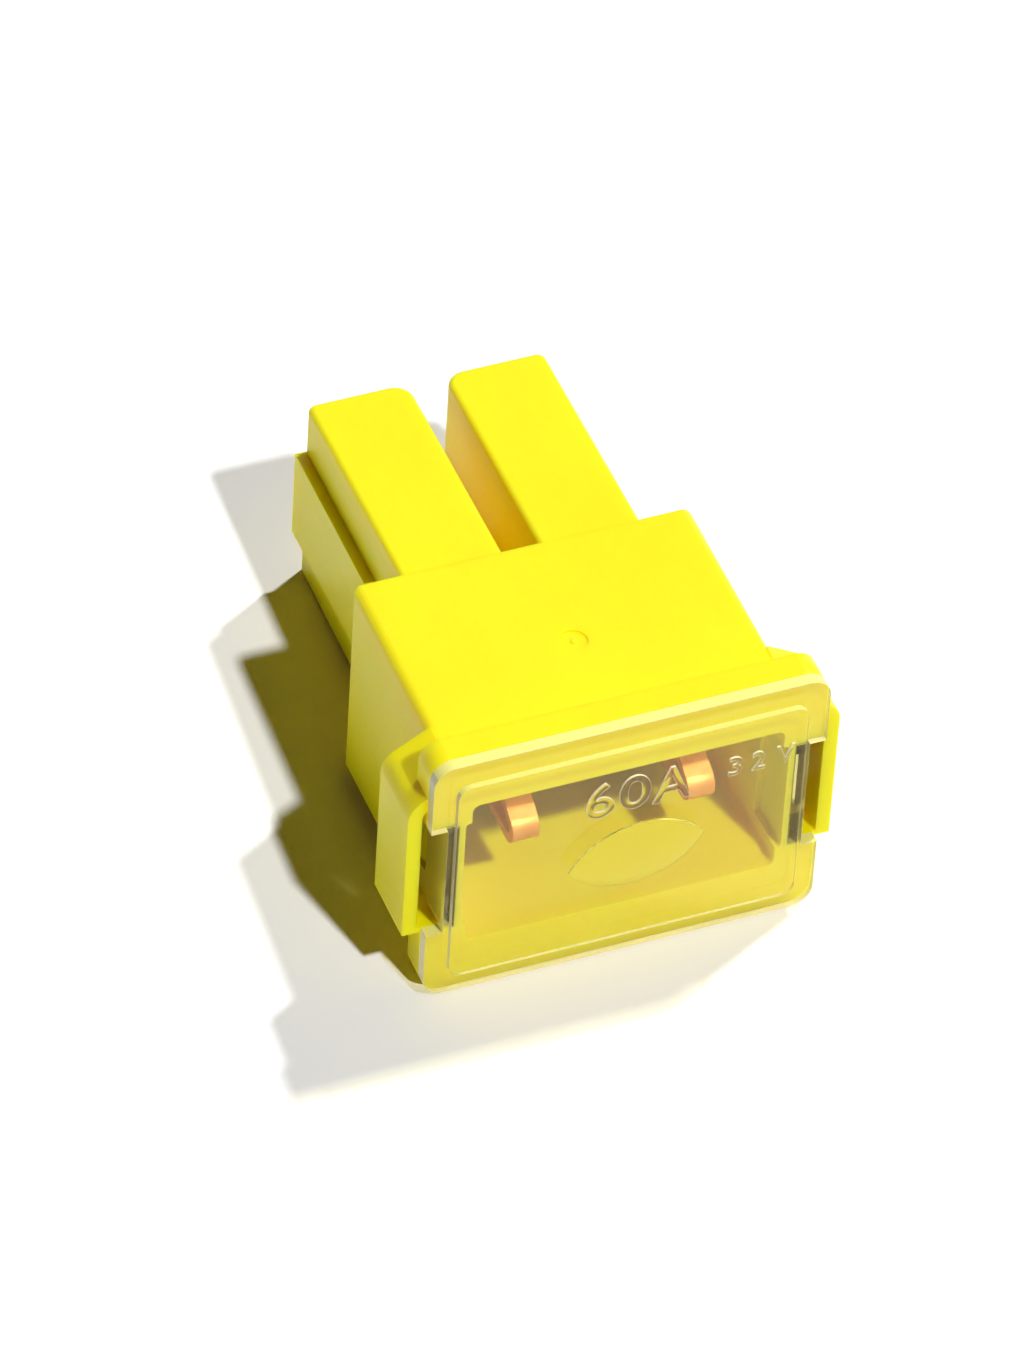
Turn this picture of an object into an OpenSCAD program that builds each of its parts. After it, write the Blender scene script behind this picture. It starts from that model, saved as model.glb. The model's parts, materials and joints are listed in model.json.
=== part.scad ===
// Plug-in slow-blow fuse with female blade terminals, lying on its side.
// Millimetres. The fuse is drawn straight in its own axes first: X across the two legs,
// Y from the front of the cover to the leg tips, Z through the thickness with zero at mid-height.
// laid_down() then sets it on the table, touching at the back edge of its rim and the leg tips.

/* [Blade that plugs in] */
// Width of the blade
blade_w = 7.7; // [6:0.1:10]
// Thickness of the blade
blade_t = 0.8; // [0.6:0.1:1]
// Distance between the two blades, centre to centre
blade_pitch = 7.08; // [6.2:0.02:10]

/* [Terminal sheet] */
// Thickness of the stamped sheet
sheet_t = 0.5; // [0.4:0.05:0.6]
// Room past each edge of the blade inside the terminal
blade_edge_gap = 0.1; // [0.05:0.05:0.3]
// Room beside the blade for the contact ribs and the leaf spring
contact_room = 1.4; // [1.2:0.1:1.8]
// Height of the two contact ribs pressed into the terminal wall
contact_rib_h = 0.45; // [0.2:0.05:0.5]
// Width of each contact rib
contact_rib_w = 0.9; // [0.6:0.1:1.4]
// Distance between the two contact ribs
contact_rib_pitch = 4.4; // [3:0.2:5]
// Width of the seam left open in the folded box
seam_w = 2.2; // [1:0.1:3]

/* [Fusible link] */
// Width of the two arms that loop down behind the window
loop_w = 1.35; // [1:0.05:1.8]
// Distance of the front of the loops behind the front of the cover
loop_y = 2.05; // [1.8:0.05:3]
// Distance of the middle of the loops below mid-height
loop_low = -0.2; // [-0.5:0.1:1.5]
// Outer radius of the loops
loop_r = 0.85; // [0.7:0.05:1.1]
// Width of the fusible strip between the loops
link_w = 1.4; // [1:0.1:1.6]
// Distance of the fusible strip behind the front of the cover
link_y = 6.6; // [5.8:0.1:7]

/* [Tin bead] */
// Diameter of the bead
bead_d = 2.2; // [2:0.1:2.4]
// Length of the bead along the link
bead_len = 2.6; // [1.6:0.1:3.2]
// Radius of the bead's end edges
bead_edge_r = 0.45; // [0.2:0.05:0.6]

/* [Leaf spring] */
// Thickness of the spring strip
spring_t = 0.25; // [0.15:0.05:0.35]
// Width of the spring strip
spring_w = 6; // [4:0.5:6.5]
// Length between the spring's feet
spring_len = 11.5; // [8:0.5:12]
// Height of the spring's bow
spring_bow = 0.85; // [0.5:0.05:1]

/* [Body] */
// Wall above and below the terminals in the body
body_wall_z = 1.45; // [1:0.05:2.5]
// Step from the outer face of a leg to the side of the body
shoulder_step = 2.55; // [1.8:0.05:4]
// Length of the body from the back of the rim to the shoulders
body_len = 12.3; // [10:0.1:18]
// Side wall of the body beside the cavity
side_wall = 0.82; // [0.7:0.02:1.2]
// Depth of each bay in the window's sides, where the latches stand
bay_w = 0.3; // [0.1:0.05:0.35]
// Length of the bays behind the front of the rim
bay_len = 2.6; // [1:0.1:4]
// Depth of the cavity floor behind the front of the cover
cavity_depth = 9.2; // [9:0.1:10.5]
// Radius of the body's long edges
body_edge_r = 0.5; // [0.1:0.05:0.8]
// Diameter of the gate mark on the top face
gate_d = 1.4; // [0.8:0.1:2.4]
// Depth of the gate mark
gate_depth = 0.08; // [0.04:0.01:0.2]
// Distance of the gate mark behind the front of the cover
gate_y = 7.7; // [6:0.1:10]

/* [Rim] */
// Thickness of the rim behind the cover
rim_t = 1.45; // [1:0.05:2.5]
// Overhang of the rim past each side of the body
rim_side = 1.29; // [1:0.01:1.6]
// Overhang of the rim past the top and the bottom of the body
rim_step = 1.58; // [1:0.02:2.5]
// Corner radius of the rim and the cover
rim_corner_r = 1.1; // [0.6:0.1:1.6]

/* [Legs] */
// Length of the legs from the shoulders to the tips
leg_len = 13; // [10:0.1:18]
// Side walls of a leg
leg_wall_x = 0.97; // [0.7:0.01:1.2]
// Top and bottom walls of a leg at its tip
leg_wall_z = 1; // [0.7:0.05:1.4]
// Extra height of each wall where the leg meets the body
leg_draft = 0.3; // [0:0.05:0.4]
// Wall at the tip around the blade mouth
tip_wall = 1; // [0.8:0.1:1.6]
// Radius of the tip corners beside the slot between the legs
tip_inner_r = 1; // [0.2:0.1:1.2]
// Radius of the outer tip corners
tip_outer_r = 0.45; // [0.1:0.05:0.8]
// Width of the rib along the outer side of a leg
side_rib_w = 5.17; // [3:0.1:6.5]
// Height of the rib along the outer side of a leg
side_rib_h = 0.57; // [0.3:0.01:1]
// Room on each side of the blade in the mouth
mouth_gap_x = 0.4; // [0.2:0.05:0.6]
// Room past each edge of the blade in the mouth
mouth_gap_z = 0.3; // [0.1:0.05:0.4]
// Width of the lead-in chamfer along the mouth
mouth_chamfer = 0.45; // [0.2:0.05:0.6]

/* [Side guards] */
// Gap between the side of the rim and a guard
guard_gap = 0.21; // [0.1:0.01:0.6]
// Wall of a guard
guard_t = 0.72; // [0.5:0.02:1]
// Length of a guard along the fuse
guard_len = 3.65; // [3:0.05:5]
// Slope of a guard's root, in degrees
guard_slope = 31; // [20:1:40]
// Outer radius of a guard's bend
guard_bend_r = 1.3; // [1:0.05:1.6]
// Thickness of the shelf that closes a guard below the latch
shelf_t = 0.33; // [0.3:0.01:1]

/* [Cover] */
// Thickness of the cover's flange
flange_t = 0.65; // [0.5:0.05:1]
// Height of the raised pad over the window
pad_h = 0.3; // [0.1:0.05:0.6]
// Margin of the flange left beside the pad
pad_margin_x = 1.15; // [1:0.05:1.6]
// Margin of the flange left above and below the pad
pad_margin_z = 1.25; // [0.8:0.05:1.8]
// Corner radius of the pad
pad_corner_r = 0.7; // [0.3:0.1:1.2]
// Width of the lens-shaped boss on the pad
lens_w = 6.9; // [4:0.1:8]
// Height of the lens-shaped boss
lens_h = 3.9; // [2:0.1:5]
// Height of the boss's edge above the pad
lens_edge = 0.08; // [0.05:0.01:0.2]
// Extra height of the boss's crown
lens_crown = 0.1; // [0.06:0.02:0.3]
// Distance of the boss right of the middle
lens_x = 0.4; // [-1:0.1:1]
// Distance of the boss below mid-height
lens_low = 0.7; // [-1:0.1:1]
// Turn of the boss, right end up, in degrees
lens_turn = 6; // [-15:1:15]

/* [Latches] */
// Thickness of a latch arm
arm_t = 0.6; // [0.45:0.05:0.7]
// Width of a latch arm
arm_w = 6.6; // [5:0.1:8]
// Reach of a latch arm behind the front of the cover
arm_reach = 4.3; // [4:0.1:5]
// Width of the catch that holds a latch arm
catch_w = 3.2; // [2:0.1:4]
// Length of the catch's ramp
catch_len = 1; // [0.6:0.1:1.2]
// Height of the catch
catch_h = 0.5; // [0.3:0.05:0.55]
// Material past the arm's window at its tip
arm_bar = 0.7; // [0.5:0.05:1]

/* [Retaining tangs] */
// Width of the tang bent out of each terminal
tang_w = 2.2; // [1.5:0.1:3]
// Length of the tang
tang_len = 2.6; // [2:0.1:3.5]
// Height that the tang stands out
tang_h = 0.55; // [0.3:0.05:0.65]
// Distance from the leg tip to the tang's root
tang_from_tip = 9; // [7:0.1:10]

/* [Clearances] */
// Gap between a terminal and its chamber on each side
chamber_gap = 0.05; // [0.02:0.01:0.1]
// Gap around a latch arm
latch_gap = 0.05; // [0.03:0.01:0.15]
// Gap between the tin bead and the strip inside it
bead_gap = 0.02; // [0.01:0.01:0.05]

/* [Hidden] */
$fn = 48;
cut = 0.5;   // how far a cutting shape runs past the face it cuts
joint = 0.2; // how far shapes of one solid run into each other
lap = 1;     // how many degrees a bend runs into the straight wall beside it

// Terminal box, its chamber and the leg around it
box_in_h = blade_w + 2 * blade_edge_gap;
box_in_w = blade_t + contact_room;
box_h = box_in_h + 2 * sheet_t;
box_w = box_in_w + 2 * sheet_t;
chamber_h = box_h + 2 * chamber_gap;
chamber_w = box_w + 2 * chamber_gap;
leg_x = blade_pitch / 2;
leg_w = chamber_w + 2 * leg_wall_x;
leg_in = leg_x - leg_w / 2;
leg_out = leg_x + leg_w / 2;
leg_tip_h = chamber_h + 2 * leg_wall_z;
leg_root_h = leg_tip_h + 2 * leg_draft;

// Body, rim and cover outline
body_w = 2 * (leg_out + shoulder_step);
body_h = chamber_h + 2 * body_wall_z;
rim_w = body_w + 2 * rim_side;
rim_h = body_h + 2 * rim_step;
window_w = body_w - 2 * side_wall;
window_r = 0.4;

// Stations along the fuse, from the front of the cover's flange
rim_front = flange_t;
rim_back = rim_front + rim_t;
shoulder_y = rim_back + body_len;
tip_y = shoulder_y + leg_len;
box_front = cavity_depth + joint;
box_back = tip_y - tip_wall - chamber_gap;

// Guards
notch_h = arm_w + 4 * latch_gap;
guard_out = rim_w / 2 + guard_gap + guard_t;
guard_front = rim_front + latch_gap;
guard_low = notch_h / 2 + shelf_t;
guard_back = guard_front + guard_len;
guard_bend_x = guard_out - guard_bend_r;
guard_root_x = body_w / 2;
guard_root_z = body_h / 2;
guard_turn_x = guard_bend_x + guard_bend_r * sin(guard_slope);
guard_bend_z = guard_root_z - (guard_turn_x - guard_root_x) * tan(guard_slope)
    - guard_bend_r * cos(guard_slope);

// Latches
recess_x = body_w / 2 - side_wall / 4;
arm_in = recess_x + latch_gap;
arm_out = arm_in + arm_t;
notch_x = arm_out + latch_gap;
slot_end = arm_reach - arm_bar;
slot_start = slot_end - catch_len - 2 * latch_gap;

// Loops of the fusible link, seen from the side: a sloping arm down from the terminal's top wall,
// round the loop and straight back to the fusible strip
arm_top_z = box_h / 2;
loop_in_r = loop_r - sheet_t;
loop_centre_y = loop_y + loop_r;
loop_run = box_front - loop_centre_y;
loop_drop = arm_top_z + loop_low;
loop_reach = norm([loop_run, loop_drop]);
loop_slope = atan2(loop_drop, loop_run) - asin(loop_r / loop_reach);
arm_len = sqrt(pow(loop_reach, 2) - pow(loop_r, 2)) - sheet_t / 2;
link_z = -loop_low - loop_r + sheet_t / 2;
loop_out = leg_x + box_w / 2;

// Spring
spring_r = (pow(spring_len / 2, 2) + pow(spring_bow, 2)) / (2 * spring_bow);
spring_mid_y = box_back - spring_len / 2 - 2 * sheet_t;
spring_wall = leg_x - box_in_w / 2;

// Resting tilt: from the back lower edge of the rim down to the lower edges of the tips
rest_tilt = atan2((rim_h - leg_tip_h) / 2, tip_y - rim_back);
rest_lift = rim_back * sin(rest_tilt) + rim_h / 2 * cos(rest_tilt);
pad_w = rim_w - 2 * pad_margin_x;
pad_z = rim_h - 2 * pad_margin_z;
front_reach = max(pad_h * cos(rest_tilt) + pad_z / 2 * sin(rest_tilt), rim_h / 2 * sin(rest_tilt));
back_reach = tip_y * cos(rest_tilt) + leg_tip_h / 2 * sin(rest_tilt);
rest_middle = (back_reach - front_reach) / 2;

// Sets the straight fuse on the table
module laid_down() {
    translate([0, -rest_middle, rest_lift]) rotate([-rest_tilt, 0, 0]) children();
}

// Draws an XZ outline from y0 to y1
module span_y(y0, y1) {
    translate([0, y1, 0]) rotate([90, 0, 0]) linear_extrude(height = y1 - y0) children();
}

// Draws a YZ outline from x0 to x1
module span_x(x0, x1) {
    translate([x0, 0, 0]) rotate([90, 0, 90]) linear_extrude(height = x1 - x0) children();
}

// Draws an XY outline centred on mid-height
module span_z(height) {
    translate([0, 0, -height / 2]) linear_extrude(height = height) children();
}

// A box by its corners
module block(low, high) {
    translate(low) cube(high - low);
}

// Repeats a right-hand shape on the left
module both_sides() {
    children();
    mirror([1, 0, 0]) children();
}

// Rectangle with true round corners, by its corners
module round_rect(low, high, r) {
    size = high - low;
    translate(low + [r, 0]) square([size[0] - 2 * r, size[1]]);
    translate(low + [0, r]) square([size[0], size[1] - 2 * r]);
    for (x = [low[0] + r, high[0] - r], y = [low[1] + r, high[1] - r])
        translate([x, y]) circle(r);
}

// The same, centred
module round_plate(w, h, r) {
    round_rect([-w / 2, -h / 2], [w / 2, h / 2], r);
}

// Sector of a ring, from angle a0 to angle a1, which lie less than 200 degrees apart
module ring_sector(r_out, r_in, a0, a1) {
    reach = 3 * r_out;
    mid = (a0 + a1) / 2;
    intersection() {
        difference() {
            circle(r_out);
            circle(r_in);
        }
        polygon([
            [0, 0],
            reach * [cos(a0), sin(a0)],
            reach * [cos(mid), sin(mid)],
            reach * [cos(a1), sin(a1)]
        ]);
    }
}

// Plan of the right leg, run into the body, with its own radius at each tip corner
module leg_plan() {
    start = shoulder_y - joint;
    translate([leg_in, start]) square([leg_w - tip_outer_r, tip_y - tip_inner_r - start]);
    translate([leg_in + tip_inner_r, start])
        square([leg_w - tip_inner_r - tip_outer_r, tip_y - start]);
    translate([leg_in + tip_inner_r, start])
        square([leg_w - tip_inner_r, tip_y - tip_outer_r - start]);
    translate([leg_in + tip_inner_r, tip_y - tip_inner_r]) circle(tip_inner_r);
    translate([leg_out - tip_outer_r, tip_y - tip_outer_r]) circle(tip_outer_r);
}

// Side of a leg with its draft, from inside the body to the tip
module leg_side() {
    start = shoulder_y - 2 * joint;
    fall = leg_draft / (tip_y - start);
    polygon([
        [start, -leg_root_h / 2],
        [tip_y + cut, fall * cut - leg_tip_h / 2],
        [tip_y + cut, leg_tip_h / 2 - fall * cut],
        [start, leg_root_h / 2]
    ]);
}

// Right leg with the rib along its outer side
module leg() {
    intersection() {
        span_z(leg_root_h) leg_plan();
        span_x(0, leg_out + joint) leg_side();
    }
    block([leg_out - joint, shoulder_y - joint, -side_rib_w / 2],
        [leg_out + side_rib_h, tip_y - tip_outer_r / 2, side_rib_w / 2]);
}

// Chamber for the right terminal, with the blade mouth and the pocket for its tang
module chamber() {
    mouth_w = blade_t + 2 * mouth_gap_x;
    mouth_h = blade_w + 2 * mouth_gap_z;
    pocket_y = tip_y - tang_from_tip;
    block([leg_x - chamber_w / 2, cavity_depth - joint, -chamber_h / 2],
        [leg_x + chamber_w / 2, tip_y - tip_wall, chamber_h / 2]);
    block([leg_x - mouth_w / 2, tip_y - tip_wall - joint, -mouth_h / 2],
        [leg_x + mouth_w / 2, tip_y + cut, mouth_h / 2]);
    translate([leg_x, 0, 0]) span_z(mouth_h) polygon([
        [-mouth_w / 2, tip_y - mouth_chamfer],
        [mouth_w / 2, tip_y - mouth_chamfer],
        [mouth_w / 2 + mouth_chamfer + cut, tip_y + cut],
        [-mouth_w / 2 - mouth_chamfer - cut, tip_y + cut]
    ]);
    pocket_w = tang_w + 4 * chamber_gap;
    block([leg_x, pocket_y - tang_len - 2 * sheet_t, -pocket_w / 2],
        [leg_x + chamber_w / 2 + tang_h + chamber_gap, pocket_y + sheet_t, pocket_w / 2]);
}

// Outline of the right side guard: sloped root, bend, straight wall and shelf
module guard_outline() {
    inner_r = guard_bend_r - guard_t;
    root_run = (guard_turn_x - guard_root_x) / cos(guard_slope);
    translate([guard_bend_x, guard_bend_z]) {
        ring_sector(guard_bend_r, inner_r, -lap, 90 - guard_slope + lap);
        rotate(-guard_slope) translate([-root_run - joint, inner_r])
            square([root_run + joint, guard_t]);
    }
    translate([guard_out - guard_t, -guard_low]) square([guard_t, guard_bend_z + guard_low]);
    translate([guard_root_x - joint, -guard_low])
        square([guard_out - guard_t / 2 - guard_root_x + joint, shelf_t]);
}

// Catch that holds a latch arm: a ramp from the front, a square face at the back
module catch() {
    start = slot_start + latch_gap;
    span_z(catch_w) polygon([
        [recess_x - joint, start],
        [recess_x, start],
        [recess_x + catch_h, start + catch_len * 0.6],
        [recess_x + catch_h, start + catch_len],
        [recess_x - joint, start + catch_len]
    ]);
}

// Round mark left by the moulding gate, with its broken-off stub
module gate_mark() {
    difference() {
        translate([0, gate_y, body_h / 2 - gate_depth]) cylinder(d = gate_d, h = gate_depth + cut);
        translate([0, gate_y, body_h / 2 - 2 * gate_depth])
            cylinder(d = gate_d / 5, h = 2 * gate_depth);
    }
}

// Moulded housing: rim, body, guards and the two hollow legs
module housing() {
    color([0.98, 0.9, 0.08]) laid_down() {
        difference() {
            union() {
                span_y(rim_front, rim_back) round_plate(rim_w, rim_h, rim_corner_r);
                intersection() {
                    span_y(rim_front, shoulder_y) round_plate(body_w, body_h, body_edge_r);
                    span_z(body_h)
                        round_rect([-body_w / 2, -cut], [body_w / 2, shoulder_y], body_edge_r);
                }
                both_sides() {
                    leg();
                    span_y(guard_front, guard_back) guard_outline();
                }
            }
            span_y(-cut, cavity_depth) round_plate(window_w, chamber_h, window_r);
            span_y(-cut, rim_front + bay_len)
                round_plate(window_w + 2 * bay_w, notch_h, window_r / 2);
            both_sides() {
                chamber();
                block([recess_x, -cut, -notch_h / 2],
                    [rim_w / 2 + joint / 2, guard_back + joint, notch_h / 2]);
            }
            gate_mark();
        }
        both_sides() catch();
    }
}

// Latch arm of the cover with the window that hooks over the catch
module latch_arm() {
    slot_w = catch_w + 4 * latch_gap;
    difference() {
        block([arm_in, 0, -arm_w / 2], [arm_out, arm_reach, arm_w / 2]);
        block([arm_in - cut, slot_start, -slot_w / 2], [arm_out + cut, slot_end, slot_w / 2]);
    }
}

// Lens outline between two equal arcs
module lens(w, h) {
    r = (pow(w / 2, 2) + pow(h / 2, 2)) / h;
    intersection() {
        translate([0, r - h / 2]) circle(r, $fn = 96);
        translate([0, h / 2 - r]) circle(r, $fn = 96);
    }
}

// Lens-shaped boss with a crowned face, which magnifies what lies behind it
module lens_boss() {
    crown_z = pow(lens_h / 2, 2) / (2 * lens_crown);
    crown_x = pow(lens_w / 2, 2) / (2 * lens_crown);
    top = pad_h + lens_edge + lens_crown;
    translate([lens_x, 0, -lens_low]) rotate([0, -lens_turn, 0]) intersection() {
        span_y(-top - joint, joint) lens(lens_w, lens_h);
        translate([0, crown_x - top, 0]) rotate_extrude($fn = 180)
            translate([crown_x - crown_z, 0]) circle(crown_z, $fn = 120);
    }
}

// Clear cover: notched flange, raised pad with its lens and two latch arms
module cover() {
    color([0.93, 0.92, 0.8, 0.4]) laid_down() {
        difference() {
            union() {
                span_y(0, flange_t) round_plate(rim_w, rim_h, rim_corner_r);
                span_y(-pad_h, joint) round_plate(pad_w, pad_z, pad_corner_r);
            }
            both_sides() block([notch_x - latch_gap, -cut, -notch_h / 2],
                [rim_w / 2 + cut, rim_back, notch_h / 2]);
        }
        both_sides() latch_arm();
        lens_boss();
    }
}

// Folded box of the right terminal: open seam on its inner side and ribs on its outer wall
module terminal_box() {
    rib_len = (box_back - box_front) / 2;
    difference() {
        block([leg_x - box_w / 2, box_front, -box_h / 2], [leg_x + box_w / 2, box_back, box_h / 2]);
        block([leg_x - box_in_w / 2, box_front - cut, -box_in_h / 2],
            [leg_x + box_in_w / 2, box_back + cut, box_in_h / 2]);
        block([leg_x - box_w, box_front - cut, -seam_w / 2], [leg_x, box_back + cut, seam_w / 2]);
        block([leg_x, tip_y - tang_from_tip - tang_len, -tang_w / 2],
            [leg_x + box_w, tip_y - tang_from_tip, tang_w / 2]);
    }
    wall = leg_x + box_in_w / 2;
    for (z = [-contact_rib_pitch / 2, contact_rib_pitch / 2])
        block([wall - contact_rib_h, box_back - rib_len, z - contact_rib_w / 2],
            [wall + joint, box_back - 2 * sheet_t, z + contact_rib_w / 2]);
}

// Tang bent out of the terminal's outer wall, leaning back towards the cavity
module tang() {
    root_y = tip_y - tang_from_tip;
    wall = leg_x + box_in_w / 2;
    span_z(tang_w) polygon([
        [wall, root_y + joint],
        [wall, root_y],
        [wall + tang_h, root_y - tang_len + joint],
        [wall + tang_h + sheet_t, root_y - tang_len + joint],
        [wall + sheet_t, root_y + joint]
    ]);
}

// Right arm of the link: down from the terminal's top wall, round the loop and back
module link_arm() {
    span_x(loop_out - loop_w, loop_out) {
        translate([loop_centre_y, -loop_low]) {
            ring_sector(loop_r, loop_in_r, 90 + loop_slope - lap, 270 + lap);
            rotate(loop_slope) translate([0, loop_in_r]) square([arm_len, sheet_t]);
        }
        translate([loop_centre_y, link_z - sheet_t / 2])
            square([link_y + link_w - loop_centre_y, sheet_t]);
    }
    block([loop_out - loop_w, box_front - sheet_t, arm_top_z - sheet_t],
        [loop_out, box_front + joint, arm_top_z]);
}

// Right half of the fusible strip, from the arm to the middle
module fusible_strip() {
    block([-joint, link_y, link_z - sheet_t / 2], [loop_out, link_y + link_w, link_z + sheet_t / 2]);
}

// One stamped and folded piece: two box terminals joined by the looped fusible link
module fuse_element() {
    color([0.85, 0.52, 0.3]) laid_down() both_sides() {
        terminal_box();
        tang();
        link_arm();
        fusible_strip();
    }
}

// Tin bead cast round the middle of the fusible strip
module tin_bead() {
    slot_y = link_w / 2 + bead_gap;
    slot_z = sheet_t / 2 + bead_gap;
    color([0.75, 0.76, 0.78]) laid_down() translate([0, link_y + link_w / 2, link_z]) difference() {
        rotate([0, 90, 0]) rotate_extrude() intersection() {
            round_plate(bead_d, bead_len, bead_edge_r);
            translate([0, -bead_len]) square([bead_d, 2 * bead_len]);
        }
        block([-bead_len, -slot_y, -slot_z], [bead_len, slot_y, slot_z]);
    }
}

// Bowed leaf spring on the inner wall of the right terminal
module contact_spring() {
    half_angle = asin(spring_len / 2 / spring_r);
    centre_x = spring_wall + chamber_gap + spring_bow + spring_t - spring_r;
    translate([centre_x, spring_mid_y, 0]) span_z(spring_w)
        ring_sector(spring_r, spring_r - spring_t, -half_angle, half_angle, $fn = 120);
}

module contact_spring_right() {
    color([0.72, 0.73, 0.74]) laid_down() contact_spring();
}

module contact_spring_left() {
    color([0.72, 0.73, 0.74]) laid_down() mirror([1, 0, 0]) contact_spring();
}

housing();
cover();
fuse_element();
tin_bead();
contact_spring_left();
contact_spring_right();
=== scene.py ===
"""Dressed model of a plug-in slow-blow fuse lying on a pale floor.

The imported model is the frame. Each sub-assembly is a class that builds its meshes and dresses
them, each finish is a frozen dataclass, and main() builds everything in order.
"""

import json
import logging
import math
from dataclasses import dataclass, field
from enum import Enum, IntEnum
from typing import Callable, Optional, Union

import bmesh
import bpy
from mathutils import Matrix, Vector


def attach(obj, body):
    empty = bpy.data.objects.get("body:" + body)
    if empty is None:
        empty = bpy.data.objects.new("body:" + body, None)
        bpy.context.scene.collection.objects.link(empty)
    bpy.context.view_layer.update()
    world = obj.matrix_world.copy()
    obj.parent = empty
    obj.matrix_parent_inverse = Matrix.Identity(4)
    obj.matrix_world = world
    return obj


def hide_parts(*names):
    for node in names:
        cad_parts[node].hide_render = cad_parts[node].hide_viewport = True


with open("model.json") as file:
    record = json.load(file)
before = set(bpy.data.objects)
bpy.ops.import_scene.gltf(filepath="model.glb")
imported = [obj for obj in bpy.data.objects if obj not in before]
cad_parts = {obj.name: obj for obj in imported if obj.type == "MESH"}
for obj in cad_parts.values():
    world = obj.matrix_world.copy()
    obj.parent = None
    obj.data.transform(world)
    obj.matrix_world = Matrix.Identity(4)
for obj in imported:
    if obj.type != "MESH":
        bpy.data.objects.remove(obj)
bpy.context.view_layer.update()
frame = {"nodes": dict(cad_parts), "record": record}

MM = 0.001
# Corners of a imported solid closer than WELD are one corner, and faces flatter than FLAT one face.
WELD = 0.0005 * MM
FLAT = math.radians(0.3)
# Corners of a finished mesh closer than MERGE are one corner.
MERGE = 0.001 * MM
BODY = "root"
Triple = tuple[float, float, float]
Colour = Triple
SocketValue = Union[float, int, str, bool, Triple, bpy.types.NodeSocket,
                    list[bpy.types.NodeSocket]]

logging.basicConfig(level=logging.INFO, format="%(message)s")
log = logging.getLogger("fuse")


class Slot(str, Enum):
    """The record's material slots."""

    YELLOW = "yellow_plastic"
    CLEAR = "clear_plastic"
    COPPER = "copper_alloy"
    TIN = "tin"
    STEEL = "spring_steel"


class CoverPart(IntEnum):
    """The parts of the cover that have a finish each, in the order of its material slots."""

    FACE = 0
    CORNER = 1
    TOP = 2
    SIDE = 3
    ARM = 4
    LENS = 5


class Axis(Enum):
    """The fuse's own axes: across the legs, along them and through the thickness."""

    ACROSS = 0
    ALONG = 1
    THROUGH = 2


def linear(red: float, green: float, blue: float) -> Colour:
    """Turns a display colour into a linear one.

    Args:
        red: Red from 0 to 255.
        green: Green from 0 to 255.
        blue: Blue from 0 to 255.

    Returns:
        The linear colour, from 0 to 1.
    """

    def one(value: float) -> float:
        """Returns one channel's linear value."""
        share = value / 255
        return share / 12.92 if share <= 0.04045 else ((share + 0.055) / 1.055) ** 2.4

    return one(red), one(green), one(blue)


class Lay:
    """How the fuse lies: its own straight axes against the table's."""

    # The rim's seat on the fuse's own axes: across, back from the flange's front, and up.
    rim_seat: Vector = Vector((0, 2.1, 6.74)) * MM

    def __init__(self, record: dict) -> None:
        """Reads the tilt and the origin from the rim's seat.

        Args:
            record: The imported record, which states the mounts.
        """
        mounts = {mount["name"]: mount for mount in record["mounts"]}
        seat = mounts["rim_seat"]
        axis = Vector(seat["axis"]).normalized()
        self.turn = Matrix.Rotation(math.atan2(axis.z, axis.y), 4, "X")
        self.origin = Vector(seat["pos_m"]) - self.turn @ self.rim_seat

    def matrix(self) -> Matrix:
        """Returns the matrix from the fuse's own axes to the table's."""
        return Matrix.Translation(self.origin) @ self.turn

    def front(self, x: float, y: float, z: float) -> Matrix:
        """Places flat work on the cover's front, with its back to the fuse.

        Args:
            x: Place across the fuse, in metres.
            y: Depth behind the front of the flange, in metres.
            z: Place above mid-height, in metres.

        Returns:
            The matrix that sets work drawn in the XY plane on the front.
        """
        upright = Matrix.Rotation(math.pi / 2, 4, "X")
        return self.matrix() @ Matrix.Translation((x, y, z)) @ upright


def add_node(tree: bpy.types.NodeTree, kind: str,
             inputs: Optional[dict[Union[str, int], SocketValue]] = None,
             **settings: object) -> bpy.types.Node:
    """Adds a node to a tree.

    Args:
        tree: The shader or geometry node tree.
        kind: The node's type.
        inputs: Values or sockets for the node's inputs, by name or place. A list of sockets
            goes to one input that takes many.
        **settings: Properties of the node itself.

    Returns:
        The node.
    """
    node = tree.nodes.new(kind)
    for name, value in settings.items():
        setattr(node, name, value)
    for key, value in (inputs or {}).items():
        socket = node.inputs[key]
        if isinstance(value, list):
            for source in value:
                tree.links.new(source, socket)
        elif isinstance(value, bpy.types.NodeSocket):
            tree.links.new(value, socket)
        elif isinstance(value, tuple) and socket.type == "RGBA":
            socket.default_value = (*value, 1)
        else:
            socket.default_value = value
    return node


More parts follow.
